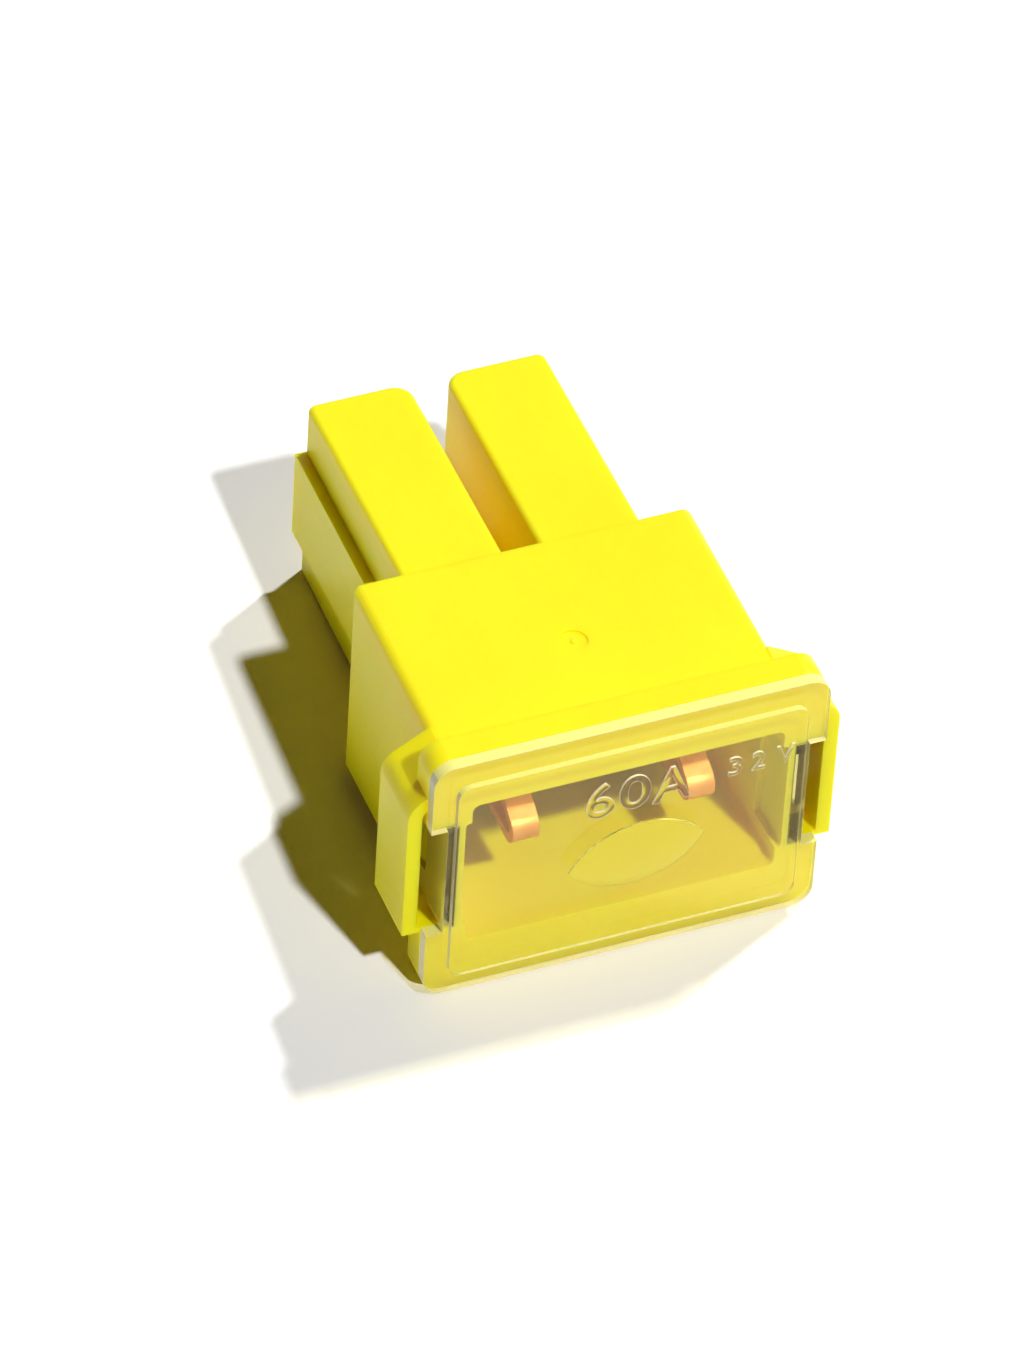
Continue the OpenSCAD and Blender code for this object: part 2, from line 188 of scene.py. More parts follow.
class Graph:
    """A shader node tree, built by named steps."""

    def __init__(self, name: str) -> None:
        """Starts an empty material.

        Args:
            name: The material's name.
        """
        self.material = bpy.data.materials.new(name)
        self.material.use_nodes = True
        self.tree = self.material.node_tree
        self.tree.nodes.clear()

    def add(self, kind: str, inputs: Optional[dict[Union[str, int], SocketValue]] = None,
            **settings: object) -> bpy.types.Node:
        """Adds a shader node, whose type is given without its prefix."""
        return add_node(self.tree, "ShaderNode" + kind, inputs, **settings)

    def place(self, scale: Triple = (1, 1, 1), turn: Triple = (0, 0, 0)) -> bpy.types.NodeSocket:
        """Adds the object's own coordinates.

        Args:
            scale: How much each axis is squeezed, so that 0.1 draws a pattern out tenfold.
            turn: Turn about each axis, in radians.

        Returns:
            The coordinates.
        """
        coordinates = self.add("TexCoord").outputs["Object"]
        mapping = self.add("Mapping", {"Vector": coordinates, "Scale": scale, "Rotation": turn})
        return mapping.outputs["Vector"]

    def noise(self, where: bpy.types.NodeSocket, size: float, detail: float = 2.0,
              roughness: float = 0.5) -> bpy.types.NodeSocket:
        """Adds a noise pattern.

        Args:
            where: The coordinates to read.
            size: Size of the pattern's cells, in metres.
            detail: How many finer layers are added.
            roughness: How strong the finer layers are.

        Returns:
            The pattern, around one half.
        """
        node = self.add("TexNoise", {"Vector": where, "Scale": 1 / size, "Detail": detail,
                                     "Roughness": roughness})
        return node.outputs["Fac"]

    def span(self, value: bpy.types.NodeSocket, low: float, high: float,
             start: float = 0.3, end: float = 0.7) -> bpy.types.NodeSocket:
        """Spreads a pattern from one range to another.

        Args:
            value: The pattern.
            low: What the start becomes.
            high: What the end becomes.
            start: Where the pattern's range starts.
            end: Where the pattern's range ends.

        Returns:
            The spread pattern.
        """
        node = self.add("MapRange", {"Value": value, "From Min": start, "From Max": end,
                                     "To Min": low, "To Max": high})
        return node.outputs["Result"]

    def blend(self, share: bpy.types.NodeSocket, first: Colour,
              second: Colour) -> bpy.types.NodeSocket:
        """Blends two colours by a pattern."""
        node = self.add("Mix", {0: share, 6: first, 7: second}, data_type="RGBA")
        return node.outputs[2]

    def bump(self, height: bpy.types.NodeSocket, depth: float,
             under: Optional[bpy.types.NodeSocket] = None) -> bpy.types.NodeSocket:
        """Turns a pattern into relief.

        Args:
            height: The pattern.
            depth: Height of the relief, in metres.
            under: A coarser relief that this one lies on.

        Returns:
            The bumped normal.
        """
        inputs: dict[Union[str, int], SocketValue] = {"Height": height, "Distance": depth,
                                                      "Strength": 1.0}
        if under is not None:
            inputs["Normal"] = under
        return self.add("Bump", inputs).outputs["Normal"]

    def finish(self, surface: bpy.types.NodeSocket) -> bpy.types.Material:
        """Connects the surface and returns the material."""
        self.add("OutputMaterial", {"Surface": surface})
        return self.material


@dataclass(frozen=True)
class MouldedPlastic:
    """Opaque plastic that lets a little light through its edges."""

    name: str
    colour: Colour
    flow_colour: Colour
    roughness: float = 0.36
    glow: float = 0.8
    glow_depth: float = 0.9 * MM
    glow_reach: Triple = (1.0, 0.66, 0.05)
    gloss: float = 0.2
    flow_size: float = 5 * MM
    grain_size: float = 0.16 * MM
    grain_depth: float = 0.004 * MM
    wave_size: float = 2.2 * MM
    wave_depth: float = 0.02 * MM
    rub_size: float = 0.22 * MM

    def material(self) -> bpy.types.Material:
        """Builds the finish: faint flow bands, mould grain and fine wear.

        Returns:
            The material.
        """
        graph = Graph(self.name)
        where = graph.place()
        flow = graph.noise(graph.place(scale=(1, 0.45, 1)), self.flow_size, 3)
        grain = graph.noise(where, self.grain_size, 3, 0.6)
        waves = graph.noise(where, self.wave_size, 1)
        rubs = graph.noise(graph.place(scale=(1, 0.15, 1), turn=(0, 0, 0.4)), self.rub_size, 2)
        relief = graph.bump(grain, self.grain_depth, graph.bump(waves, self.wave_depth))
        shader = graph.add("BsdfPrincipled", {
            "Base Color": graph.blend(graph.span(flow, 0, 1), self.colour, self.flow_colour),
            "Roughness": graph.span(rubs, self.roughness - 0.06, self.roughness + 0.08),
            "Normal": relief,
            "Subsurface Weight": self.glow,
            "Subsurface Radius": self.glow_reach,
            "Subsurface Scale": self.glow_depth,
            "IOR": 1.5,
            "Specular IOR Level": self.gloss,
        })
        return graph.finish(shader.outputs[0])


@dataclass(frozen=True)
class ClearPlastic:
    """Clear moulded plastic, which lamps shine through."""

    name: str
    tint: Colour
    lamp_tint: Colour
    roughness: float = 0.03
    haze: float = 0.012
    # Reflections are tinted warm. This is a painted warm reflection that lays a warm veil over the
    # shade seen through the cover, where clear plastic would reflect white.
    mirror: Colour = (1.0, 0.72, 0.3)
    rub_size: float = 0.3 * MM
    wave_size: float = 3.0 * MM
    wave_depth: float = 0.03 * MM
    grain_size: float = 0.5 * MM
    grain_depth: float = 0.002 * MM

    def material(self) -> bpy.types.Material:
        """Builds the finish: slightly wavy faces with faint rubbing.

        Returns:
            The material.
        """
        graph = Graph(self.name)
        where = graph.place()
        rubs = graph.noise(graph.place(scale=(0.3, 1, 1), turn=(0, 0.5, 0)), self.rub_size, 2)
        waves = graph.bump(graph.noise(where, self.wave_size, 1), self.wave_depth)
        relief = graph.bump(graph.noise(where, self.grain_size, 2), self.grain_depth, waves)
        glass = graph.add("BsdfPrincipled", {
            "Base Color": self.tint,
            "Roughness": graph.span(rubs, self.roughness - 0.015, self.roughness + 0.025),
            "IOR": 1.49,
            # Painted warm reflection: the specular tint warms what the cover reflects.
            "Specular Tint": self.mirror,
            "Transmission Weight": 1 - self.haze,
            "Normal": relief,
        })
        lamps = graph.add("BsdfTransparent", {"Color": self.lamp_tint})
        rays = graph.add("LightPath")
        through = graph.add("Math", {0: rays.outputs["Is Shadow Ray"],
                                     1: rays.outputs["Is Diffuse Ray"]}, operation="MAXIMUM")
        mixed = graph.add("MixShader", {0: through.outputs[0], 1: glass.outputs[0],
                                        2: lamps.outputs[0]})
        return graph.finish(mixed.outputs[0])


@dataclass(frozen=True)
class RolledMetal:
    """Bare rolled sheet with fine lines along one axis."""

    name: str
    colour: Colour
    stain: Colour
    lines: Axis
    roughness: float = 0.3
    stretch: float = 0.06
    line_size: float = 0.08 * MM
    line_depth: float = 0.003 * MM
    stain_size: float = 1.4 * MM

    def material(self) -> bpy.types.Material:
        """Builds the finish: rolling lines and a faint stain.

        Returns:
            The material.
        """
        graph = Graph(self.name)
        scale = [1.0, 1.0, 1.0]
        scale[self.lines.value] = self.stretch
        lines = graph.noise(graph.place(scale=tuple(scale)), self.line_size, 3, 0.6)
        cloud = graph.noise(graph.place(), self.stain_size, 3, 0.6)
        shader = graph.add("BsdfPrincipled", {
            "Base Color": graph.blend(graph.span(cloud, 0, 1, 0.4, 0.75), self.colour, self.stain),
            "Metallic": 1.0,
            "Roughness": graph.span(lines, self.roughness - 0.07, self.roughness + 0.1),
            "Normal": graph.bump(lines, self.line_depth),
        })
        return graph.finish(shader.outputs[0])


@dataclass(frozen=True)
class CastMetal:
    """Dull metal with a frosted, slightly pitted skin."""

    name: str
    colour: Colour
    dull: Colour
    roughness: float = 0.45
    dimple_size: float = 0.6 * MM
    dimple_depth: float = 0.03 * MM
    frost_size: float = 0.07 * MM
    frost_depth: float = 0.003 * MM

    def material(self) -> bpy.types.Material:
        """Builds the finish: shallow dimples and a frosted grain.

        Returns:
            The material.
        """
        graph = Graph(self.name)
        where = graph.place()
        dimples = graph.noise(where, self.dimple_size, 2)
        frost = graph.noise(where, self.frost_size, 3, 0.6)
        shader = graph.add("BsdfPrincipled", {
            "Base Color": graph.blend(graph.span(dimples, 0, 1), self.colour, self.dull),
            "Metallic": 1.0,
            "Roughness": graph.span(frost, self.roughness - 0.08, self.roughness + 0.12),
            "Normal": graph.bump(frost, self.frost_depth,
                                 graph.bump(dimples, self.dimple_depth)),
        })
        return graph.finish(shader.outputs[0])


@dataclass(frozen=True)
class PalePaper:
    """The pale floor. Sight sees it a little paler than bounced light does."""

    name: str
    seen: float = 1.05
    bounced: float = 0.95

    def material(self) -> bpy.types.Material:
        """Builds the finish: a plain matt sheet.

        Returns:
            The material.
        """
        graph = Graph(self.name)
        rays = graph.add("LightPath")
        sight = graph.add("Math", {0: rays.outputs["Is Camera Ray"],
                                   1: rays.outputs["Is Transmission Ray"]}, operation="MAXIMUM")
        colour = graph.blend(sight.outputs[0], (self.bounced,) * 3, (self.seen,) * 3)
        return graph.finish(graph.add("BsdfDiffuse", {"Color": colour}).outputs[0])


def rounded_copy(node: str, name: str, edge: float, soft: float = 0.0,
                 softer: Optional[Callable[[bmesh.types.BMEdge], bool]] = None,
                 steps: int = 2, sharp: float = 40.0) -> bpy.types.Object:
    """Copies a node's mesh, merges it and rounds its sharp edges.

    Args:
        node: The CAD node.
        name: The new piece's name.
        edge: Width of the rounding, in metres.
        soft: A wider rounding for some of the edges.
        softer: Tells which edges get the wider rounding.
        steps: Faces across each rounded edge.
        sharp: Edges that turn by more than this many degrees are rounded.

    Returns:
        The new piece, a plain mesh at the origin.
    """
    work = bmesh.new()
    work.from_mesh(frame["nodes"][node].data)
    bmesh.ops.remove_doubles(work, verts=work.verts, dist=WELD)
    bmesh.ops.dissolve_limit(work, angle_limit=FLAT, verts=work.verts, edges=work.edges,
                             use_dissolve_boundaries=False)
    if softer is not None:
        chosen = [one for one in work.edges if softer(one)]
        log.info("%s: %d edges rounded wider", name, len(chosen))
        bmesh.ops.bevel(work, geom=chosen, offset=soft, offset_type="OFFSET",
                        segments=2 * steps, profile=0.5, affect="EDGES", clamp_overlap=True)
    piece = new_object(name, work)
    round_edges(piece, edge, steps, sharp)
    return piece


def new_object(name: str, work: bmesh.types.BMesh) -> bpy.types.Object:
    """Turns loose work into an object in the scene.

    Args:
        name: The object's name.
        work: The work, which is freed.

    Returns:
        The object.
    """
    mesh = bpy.data.meshes.new(name)
    work.to_mesh(mesh)
    work.free()
    made = bpy.data.objects.new(name, mesh)
    bpy.context.scene.collection.objects.link(made)
    return made


def round_edges(piece: bpy.types.Object, width: float, steps: int, sharp: float,
                slot: int = -1) -> None:
    """Rounds a piece's sharp edges, and settles it.

    Args:
        piece: The piece.
        width: Width of the rounding, in metres.
        steps: Faces across each rounded edge.
        sharp: Edges that turn by more than this many degrees are rounded.
        slot: Place of the rounding's finish among the piece's own, or -1 to keep the faces'.
    """
    bevel = piece.modifiers.new("round", "BEVEL")
    bevel.width = width
    bevel.segments = steps
    bevel.limit_method = "ANGLE"
    bevel.angle_limit = math.radians(sharp)
    bevel.use_clamp_overlap = True
    bevel.harden_normals = False
    bevel.material = slot
    settle(piece)


def evaluated_mesh(piece: bpy.types.Object) -> bpy.types.Mesh:
    """Returns a piece with its modifiers as a plain new mesh."""
    view = bpy.context.evaluated_depsgraph_get()
    return bpy.data.meshes.new_from_object(piece.evaluated_get(view))


def bake(piece: bpy.types.Object) -> bpy.types.Mesh:
    """Turns a piece and its modifiers into a plain mesh.

    Args:
        piece: The piece.

    Returns:
        Its new mesh.
    """
    mesh = evaluated_mesh(piece)
    mesh.name = piece.name
    piece.modifiers.clear()
    piece.data = mesh
    return mesh


def settle(piece: bpy.types.Object, smooth: float = 30.0) -> None:
    """Bakes a piece's modifiers, clears faces without area and shades its curves smooth.

    Args:
        piece: The piece.
        smooth: Faces that meet at less than this many degrees are shaded as one curve.
    """
    mesh = bake(piece)
    work = bmesh.new()
    work.from_mesh(mesh)
    bmesh.ops.remove_doubles(work, verts=work.verts, dist=MERGE)
    bmesh.ops.dissolve_degenerate(work, edges=work.edges, dist=MERGE)
    work.to_mesh(mesh)
    work.free()
    for polygon in mesh.polygons:
        polygon.use_smooth = True
    mesh.set_sharp_from_angle(angle=math.radians(smooth))
    weighted = piece.modifiers.new("flat faces", "WEIGHTED_NORMAL")
    weighted.keep_sharp = True
    weighted.weight = 100
    bake(piece)


def dress(piece: bpy.types.Object, *materials: bpy.types.Material) -> None:
    """Gives a piece its materials. Every face has the first, unless it is told another.

    Args:
        piece: The piece.
        *materials: The materials.
    """
    piece.data.materials.clear()
    for material in materials:
        piece.data.materials.append(material)


def report(piece: bpy.types.Object) -> None:
    """Logs a finished piece's name, faces and size."""
    size = ", ".join(f"{length / MM:.2f}" for length in piece.dimensions)
    log.info("%s: %d faces, %s mm", piece.name, len(piece.data.polygons), size)


@dataclass(frozen=True)
class Glyph:
    """One raised character on the cover's pad, in millimetres on the fuse's own axes."""

    text: str
    x: float
    z: float
    width: float
    height: float


class GlyphTree:
    """Geometry nodes that fit a character to a size and raise it."""

    inputs: tuple[tuple[str, str], ...] = (
        ("Text", "String"), ("Thicken", "Float"), ("Width", "Float"), ("Height", "Float"),
        ("Raise", "Float"), ("Face Material", "Material"), ("Side Material", "Material"))

    def __init__(self) -> None:
        """Builds the tree and keeps its inputs' identifiers."""
        self.tree = bpy.data.node_groups.new("raised_character", "GeometryNodeTree")
        panel = self.tree.interface
        self.sockets = {
            name: panel.new_socket(name, in_out="INPUT",
                                   socket_type="NodeSocket" + kind).identifier
            for name, kind in self.inputs}
        panel.new_socket("Geometry", in_out="OUTPUT", socket_type="NodeSocketGeometry")
        given = self._add("NodeGroupInput").outputs
        closed, side = self._raised(given, self._fitted(given, self._outline(given)))
        faced = self._add("GeometryNodeSetMaterial", {
            "Geometry": closed, "Material": given["Face Material"]})
        sided = self._add("GeometryNodeSetMaterial", {
            "Geometry": faced.outputs[0], "Selection": side, "Material": given["Side Material"]})
        self._add("NodeGroupOutput", {0: sided.outputs[0]})

    def _add(self, kind: str, inputs: Optional[dict[Union[str, int], SocketValue]] = None,
             **settings: object) -> bpy.types.Node:
        """Adds a node with its inputs and settings."""
        return add_node(self.tree, kind, inputs, **settings)

    def _outline(self, given: bpy.types.NodeOutputs) -> bpy.types.NodeSocket:
        """Draws the character with bolder strokes and fills it.

        Args:
            given: The tree's inputs.

        Returns:
            The flat character.
        """
        drawn = self._add("GeometryNodeStringToCurves", {"String": given["Text"]})
        real = self._add("GeometryNodeRealizeInstances", {0: drawn.outputs[0]})
        normal = self._add("GeometryNodeInputNormal")
        outward = self._add("ShaderNodeVectorMath", {
            0: normal.outputs[0], "Scale": given["Thicken"]}, operation="SCALE")
        bolder = self._add("GeometryNodeSetPosition", {
            "Geometry": real.outputs[0], "Offset": outward.outputs[0]})
        return self._add("GeometryNodeFillCurve", {0: bolder.outputs[0]}).outputs[0]

    def _fitted(self, given: bpy.types.NodeOutputs,
                flat: bpy.types.NodeSocket) -> bpy.types.NodeSocket:
        """Centres the character and fits it to its width and height.

        Args:
            given: The tree's inputs.
            flat: The flat character.

        Returns:
            The fitted character.
        """
        extent = self._add("GeometryNodeBoundBox", {0: flat}).outputs
        span, total = (self._add("ShaderNodeVectorMath", {
            0: extent["Max"], 1: extent["Min"]}, operation=one) for one in ("SUBTRACT", "ADD"))
        back = self._add("ShaderNodeVectorMath", {
            0: total.outputs[0], "Scale": -0.5}, operation="SCALE")
        sides = self._add("ShaderNodeSeparateXYZ", {0: span.outputs[0]})
        ratios: dict[Union[str, int], SocketValue] = {"Z": 1.0}
        for axis, name in (("X", "Width"), ("Y", "Height")):
            ratios[axis] = self._add("ShaderNodeMath", {
                0: given[name], 1: sides.outputs[axis]}, operation="DIVIDE").outputs[0]
        scale = self._add("ShaderNodeCombineXYZ", ratios)
        centred = self._add("GeometryNodeTransform", {
            "Geometry": flat, "Translation": back.outputs[0]})
        return self._add("GeometryNodeTransform", {
            "Geometry": centred.outputs[0], "Scale": scale.outputs[0]}).outputs[0]

    def _raised(self, given: bpy.types.NodeOutputs, fitted: bpy.types.NodeSocket
                ) -> tuple[bpy.types.NodeSocket, bpy.types.NodeSocket]:
        """Raises the character and closes its base.

        Args:
            given: The tree's inputs.
            fitted: The fitted character.

        Returns:
            The closed character, and which of its faces are sides.
        """
        lift = self._add("ShaderNodeCombineXYZ", {"Z": given["Raise"]})
        raised = self._add("GeometryNodeExtrudeMesh", {
            "Individual": False, "Offset Scale": 1.0, "Mesh": fitted, "Offset": lift.outputs[0]})
        base = self._add("GeometryNodeFlipFaces", {0: fitted})
        joined = self._add("GeometryNodeJoinGeometry", {
            0: [base.outputs[0], raised.outputs["Mesh"]]})
        closed = self._add("GeometryNodeMergeByDistance", {
            "Distance": MERGE, "Geometry": joined.outputs[0]})
        whole = self._add("GeometryNodeRealizeInstances", {0: closed.outputs[0]})
        return whole.outputs[0], raised.outputs["Side"]

    def mesh(self, glyph: Glyph, stroke: float, rise: float, face: bpy.types.Material,
             side: bpy.types.Material) -> bpy.types.Mesh:
        """Makes one raised character as a plain mesh in the XY plane.

        Args:
            glyph: The character and its size.
            stroke: How much its strokes are widened on each side, in line heights.
            rise: Its height, in metres.
            face: The finish of its face.
            side: The finish of its sides.

        Returns:
            The mesh, centred on the origin.
        """
        carrier = new_object("character", bmesh.new())
        modifier = carrier.modifiers.new("raise", "NODES")
        modifier.node_group = self.tree
        for name, value in (("Text", glyph.text), ("Thicken", stroke),
                            ("Width", glyph.width * MM), ("Height", glyph.height * MM),
                            ("Raise", rise), ("Face Material", face), ("Side Material", side)):
            modifier[self.sockets[name]] = value
        mesh = evaluated_mesh(carrier)
        bpy.data.objects.remove(carrier)
        on_side = [mesh.materials[polygon.material_index] == side for polygon in mesh.polygons]
        mesh.materials.clear()
        mesh.materials.append(face)
        mesh.materials.append(side)
        for polygon, one in zip(mesh.polygons, on_side):
            polygon.material_index = int(one)
        return mesh


@dataclass
class Housing:
    """The yellow moulding: rim, body, side guards and two hollow legs."""

    edge: float = 0.15 * MM
    leg_edge: float = 0.28 * MM
    # A leg's wider rounded edges lie beyond its root and outside its face, and turn by more
    # than its corner, in radians.
    leg_root: float = 14.5 * MM
    leg_face: float = 5.35 * MM
    leg_corner: float = 0.7
    finish: MouldedPlastic = MouldedPlastic(
        "moulded_yellow", linear(253, 236, 10), linear(251, 230, 8))

    def build(self, lay: Lay) -> bpy.types.Object:
        """Rounds the moulding's edges and stands it in for the plain one.

        Args:
            lay: How the fuse lies.

        Returns:
            The housing.
        """
        to_fuse = lay.matrix().inverted()

        def on_leg(one: bmesh.types.BMEdge) -> bool:
            """Tells whether an edge is a sharp outer one on a leg.

            Args:
                one: The edge.

            Returns:
                True for an edge that is rounded wider.
            """
            ends = [to_fuse @ vertex.co for vertex in one.verts]
            outer = all(abs(end.z) > self.leg_face for end in ends)
            beyond = sum(end.y for end in ends) / 2 > self.leg_root
            if not (outer and beyond and one.is_convex):
                return False
            return one.calc_face_angle(0) > self.leg_corner

        piece = rounded_copy("housing", "housing_moulding", self.edge, self.leg_edge, on_leg)
        dress(piece, self.finish.material())
        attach(piece, BODY)
        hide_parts("housing")
        return piece


@dataclass
class WindowCover:
    """The clear cover: polished faces, raised rating marks, and edges, arms and lens whose hazy
    tints paint highlight, light and shade.
    """

    edge: float = 0.07 * MM
    # Depths behind the flange's front.
    pad_face: float = -0.3 * MM
    back_face: float = 0.65 * MM
    back_gap: float = 0.01 * MM
    # Cosines that part the faces by where they look: forwards or back, aslant, and up.
    square_on: float = 0.9
    slanted: float = 0.15
    upward: float = 0.5
    # The rating marks. Their strokes are widened by a share of a line's height.
    rise: float = 0.1 * MM
    stroke: float = 0.018
    sunk: float = 0.05 * MM
    glyph_edge: float = 0.02 * MM
    glyph_sharp: float = 60.0
    finishes: dict[CoverPart, ClearPlastic] = field(default_factory=lambda: {
        CoverPart.FACE: ClearPlastic(
            "clear_moulding", (1.0, 0.975, 0.86), (0.99, 0.98, 0.92)),
        # Rounded corners and the characters' sides take a whitish haze so that they show as white
        # lines. This is a painted highlight that stands in for the glints of clear edges.
        CoverPart.CORNER: ClearPlastic(
            "clear_corners_painted_highlight", (0.99, 0.98, 0.86), (0.8, 0.78, 0.7), 0.22, 0.8),
        # Upward edges take a dense yellow haze. This is painted light: the lit yellow body that
        # shows through these edges, given as colour in place of refraction.
        CoverPart.TOP: ClearPlastic(
            "clear_top_painted_body_light", (0.99, 0.93, 0.26), (0.7, 0.67, 0.45), 0.3, 0.92),
        # Side edges take a pale haze that shows them whitish. This is a painted highlight that
        # stands in for the glints clear edges catch.
        CoverPart.SIDE: ClearPlastic(
            "clear_sides_painted_highlight", (1.0, 0.97, 0.66), (0.8, 0.78, 0.6), 0.2, 0.6),
        # The latch arms are tinted deep yellow. This is painted shade that stands in for the shaded
        # yellow guard seen through them. They also pass almost no lamp light, which keeps a painted
        # shadow on the floor behind them where clear arms would let light through.
        CoverPart.ARM: ClearPlastic(
            "clear_arms_painted_shade", (1.0, 0.92, 0.16), (0.08, 0.07, 0.02), 0.12, 0.55),
        # The lens takes a yellow haze that makes it brighter than the face round it. This is a
        # painted pool of light that stands in for the light the lens gathers.
        CoverPart.LENS: ClearPlastic(
            "clear_lens_painted_light", (1.0, 0.97, 0.2), (0.99, 0.98, 0.92), 0.08, 0.24),
    })
    glyphs: tuple[Glyph, ...] = (
        Glyph("6", -1.65, 3.40, 1.45, 2.25),
        Glyph("0", 0.10, 3.46, 1.60, 2.20),
        Glyph("A", 1.98, 3.42, 1.95, 2.25),
        Glyph("3", 5.17, 3.56, 0.70, 1.20),
        Glyph("2", 6.37, 3.56, 0.70, 1.20),
        Glyph("V", 7.73, 3.56, 0.95, 1.20),
    )

    def build(self, lay: Lay) -> bpy.types.Object:
        """Rounds the cover, raises its rating marks and stands it in for the plain one.

        Args:
            lay: How the fuse lies.

        Returns:
            The cover.
        """
        finishes = [self.finishes[part].material() for part in CoverPart]
        piece = rounded_copy("cover", "window_cover", self.edge)
        dress(piece, *finishes)
        for polygon in piece.data.polygons:
            polygon.material_index = self._part(polygon, lay)
        self._clear_rim(piece, lay)
        marks = self._marks(lay, finishes[CoverPart.FACE], finishes[CoverPart.CORNER])
        union = piece.modifiers.new("marks", "BOOLEAN")
        union.operation = "UNION"
        union.solver = "EXACT"
        union.material_mode = "TRANSFER"
        union.object = marks
        settle(piece)
        bpy.data.objects.remove(marks)
        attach(piece, BODY)
        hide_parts("cover")
        return piece

    def _part(self, polygon: bpy.types.MeshPolygon, lay: Lay) -> CoverPart:
        """Tells which part of the cover a face is on, from where it looks and where it is.

        Args:
            polygon: The face.
            lay: How the fuse lies.

        Returns:
            The part.
        """
        facing = abs(polygon.normal.dot(lay.turn @ Vector((0, 1, 0))))
        depth = (lay.matrix().inverted() @ polygon.center).y
        # The corner, top, side, arm and lens parts take finishes that between them paint highlight,
        # light and shade.
        if depth > self.back_face + self.back_gap:
            return CoverPart.ARM
        if depth < self.pad_face - self.back_gap:
            return CoverPart.LENS
        if facing > self.square_on:
            return CoverPart.FACE
        if facing > self.slanted:
            return CoverPart.CORNER
        # Upward edges take the painted lit yellow. The others take the whitish sides, which are
        # painted highlight.
        above = polygon.normal.dot(lay.turn @ Vector((0, 0, 1)))
        return CoverPart.TOP if above > self.upward else CoverPart.SIDE

    def _clear_rim(self, piece: bpy.types.Object, lay: Lay) -> None:
        """Draws the flange's back a hair off the rim, so that the two faces never coincide.

        Args:
            piece: The cover.
            lay: How the fuse lies.
        """
        to_fuse = lay.matrix().inverted()
        forward = lay.turn @ Vector((0, self.back_gap, 0))
        for vertex in piece.data.vertices:
            if abs((to_fuse @ vertex.co).y - self.back_face) < self.back_gap:
                vertex.co -= forward

    def _marks(self, lay: Lay, face: bpy.types.Material,
               corner: bpy.types.Material) -> bpy.types.Object:
        """Makes the rating marks as one closed mesh, sunk a little into the pad.

        Args:
            lay: How the fuse lies.
            face: The finish of the characters' faces.
            corner: The finish of their edges, whose whitish haze paints them as highlight lines.

        Returns:
            The marks.
        """
        tree = GlyphTree()
        work = bmesh.new()
        for glyph in self.glyphs:
            mesh = tree.mesh(glyph, self.stroke, self.rise + self.sunk, face, corner)
            mesh.transform(lay.front(glyph.x * MM, self.pad_face + self.sunk, glyph.z * MM))
            work.from_mesh(mesh)
            bpy.data.meshes.remove(mesh)
        marks = new_object("marks", work)
        marks.data.materials.append(face)
        marks.data.materials.append(corner)
        round_edges(marks, self.glyph_edge, 2, self.glyph_sharp, CoverPart.CORNER)
        return marks


@dataclass
class FuseElement:
    """The stamped element: two terminals joined by the looped link."""

    edge: float = 0.05 * MM
    finish: RolledMetal = RolledMetal(
        "stamped_copper", linear(234, 168, 98), linear(214, 146, 80), Axis.ALONG, 0.5)

    def build(self) -> bpy.types.Object:
        """Rounds the sheet's edges and stands it in for the plain element.

        Returns:
            The element.
        """
        piece = rounded_copy("fuse_element", "copper_element", self.edge)
        dress(piece, self.finish.material())
        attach(piece, BODY)
        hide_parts("fuse_element")
        return piece


@dataclass
class Inserts:
    """The tin bead on the link and the leaf spring in each terminal."""

    tin: CastMetal = CastMetal("cast_tin", linear(206, 206, 203), linear(176, 176, 174))
    steel: RolledMetal = RolledMetal(
        "spring_strip", linear(196, 198, 202), linear(172, 174, 178), Axis.ALONG, 0.26)
    springs: tuple[str, ...] = ("contact_spring_left", "contact_spring_right")

    def build(self) -> list[bpy.types.Object]:
        """Dresses the bead and the springs, whose shapes stay as they are.

        Returns:
            The bead and the springs.
        """
        bead = frame["nodes"]["tin_bead"]
        dress(bead, self.tin.material())
        steel = self.steel.material()
        made = [bead]
        for name in self.springs:
            spring = frame["nodes"][name]
            dress(spring, steel)
            made.append(spring)
        return made


@dataclass
class Lamp:
    """A wide, even studio lamp."""

    name: str
    towards: Triple
    level: float
    width: float
    distance: float = 0.4

    def build(self) -> bpy.types.Object:
        """Sets the lamp so that it adds its level to a flat, upward face.

        Returns:
            The lamp.
        """
        data = bpy.data.lights.new(self.name, "SUN")
        direction = Vector(self.towards).normalized()
        data.energy = self.level * math.pi / direction.z
        data.angle = math.radians(self.width)
        lamp = bpy.data.objects.new(self.name, data)
        lamp.rotation_mode = "QUATERNION"
        lamp.rotation_quaternion = direction.to_track_quat("Z", "Y")
        lamp.location = direction * self.distance
        bpy.context.scene.collection.objects.link(lamp)
        return lamp


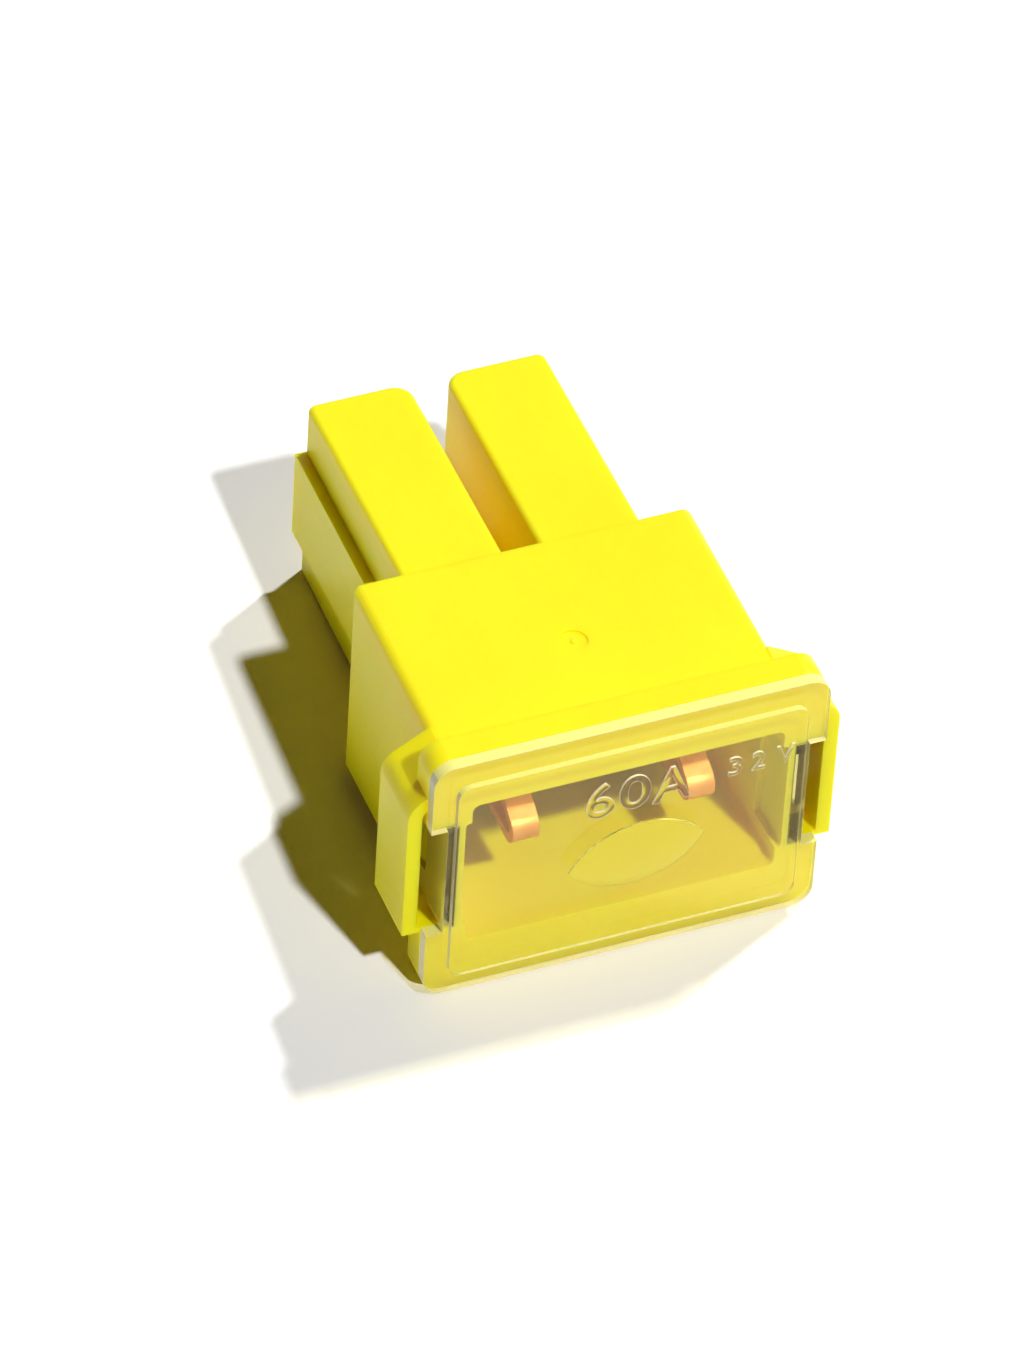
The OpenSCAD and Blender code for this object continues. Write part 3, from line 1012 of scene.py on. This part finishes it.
@dataclass
class Studio:
    """Floor, lamps, world and camera."""

    floor_half: float = 1.2
    ambient: float = 0.01
    azimuth: float = -25.855
    elevation: float = 48.716
    roll: float = 6.575
    distance: float = 482.5 * MM
    target: Triple = (-1.918 * MM, -2.660 * MM, 8.238 * MM)
    lens: float = 357.97
    lamps: tuple[Lamp, ...] = field(default_factory=lambda: (
        Lamp("front_right_lamp", (0.173, -0.507, 0.845), 0.62, 3.0),
        Lamp("back_right_lamp", (0.469, 0.305, 0.829), 0.54, 3.0),
    ))

    def build(self) -> None:
        """Sets up everything around the fuse."""
        self._floor()
        for lamp in self.lamps:
            lamp.build()
        self._world()
        self._camera()
        scene = bpy.context.scene
        scene.view_settings.view_transform = "Standard"
        scene.cycles.use_denoising = True
        scene.cycles.max_bounces = 24
        scene.cycles.diffuse_bounces = 14
        scene.cycles.glossy_bounces = 6
        scene.cycles.transmission_bounces = 14
        scene.cycles.transparent_max_bounces = 16
        scene.cycles.caustics_reflective = False
        scene.cycles.caustics_refractive = False

    def _floor(self) -> None:
        """Lays the floor at the height of the table's surface."""
        work = bmesh.new()
        bmesh.ops.create_grid(work, x_segments=8, y_segments=8, size=self.floor_half)
        floor = new_object("floor", work)
        dress(floor, PalePaper("pale_floor").material())

    def _world(self) -> None:
        """Gives soft light all round and a white surround to sight and mirror rays."""
        world = bpy.data.worlds.new("surround")
        bpy.context.scene.world = world
        world.use_nodes = True
        tree = world.node_tree
        tree.nodes.clear()
        rays = add_node(tree, "ShaderNodeLightPath").outputs
        share = rays["Is Camera Ray"]
        for name in ("Is Glossy Ray", "Is Transmission Ray"):
            share = add_node(tree, "ShaderNodeMath", {0: share, 1: rays[name]},
                             operation="MAXIMUM").outputs[0]
        strength = add_node(tree, "ShaderNodeMapRange", {
            "Value": share, "To Min": self.ambient, "To Max": 1.0})
        background = add_node(tree, "ShaderNodeBackground", {
            "Color": (1, 1, 1), "Strength": strength.outputs["Result"]})
        add_node(tree, "ShaderNodeOutputWorld", {"Surface": background.outputs[0]})

    def _camera(self) -> None:
        """Sets the camera: its turn about the fuse, its roll, its distance and its lens."""
        azimuth, elevation = math.radians(self.azimuth), math.radians(self.elevation)
        roll = math.radians(self.roll)
        back = Vector((math.sin(azimuth) * math.cos(elevation),
                       -math.cos(azimuth) * math.cos(elevation), math.sin(elevation)))
        level = Vector((math.cos(azimuth), math.sin(azimuth), 0))
        rise = back.cross(level)
        right = level * math.cos(roll) + rise * math.sin(roll)
        up = back.cross(right)
        data = bpy.data.cameras.new("camera")
        data.lens = self.lens
        data.sensor_fit = "HORIZONTAL"
        data.sensor_width = 36
        data.clip_start, data.clip_end = 0.01, 20
        camera = bpy.data.objects.new("camera", data)
        turn = Matrix((right, up, back)).transposed().to_4x4()
        camera.matrix_world = Matrix.Translation(Vector(self.target) + back * self.distance) @ turn
        bpy.context.scene.collection.objects.link(camera)
        bpy.context.scene.camera = camera


def main() -> None:
    """Builds the pieces in order, then the studio."""
    lay = Lay(frame["record"])
    report(Housing().build(lay))
    report(WindowCover().build(lay))
    report(FuseElement().build())
    for piece in Inserts().build():
        report(piece)
    Studio().build()


if __name__ == "__main__":
    main()
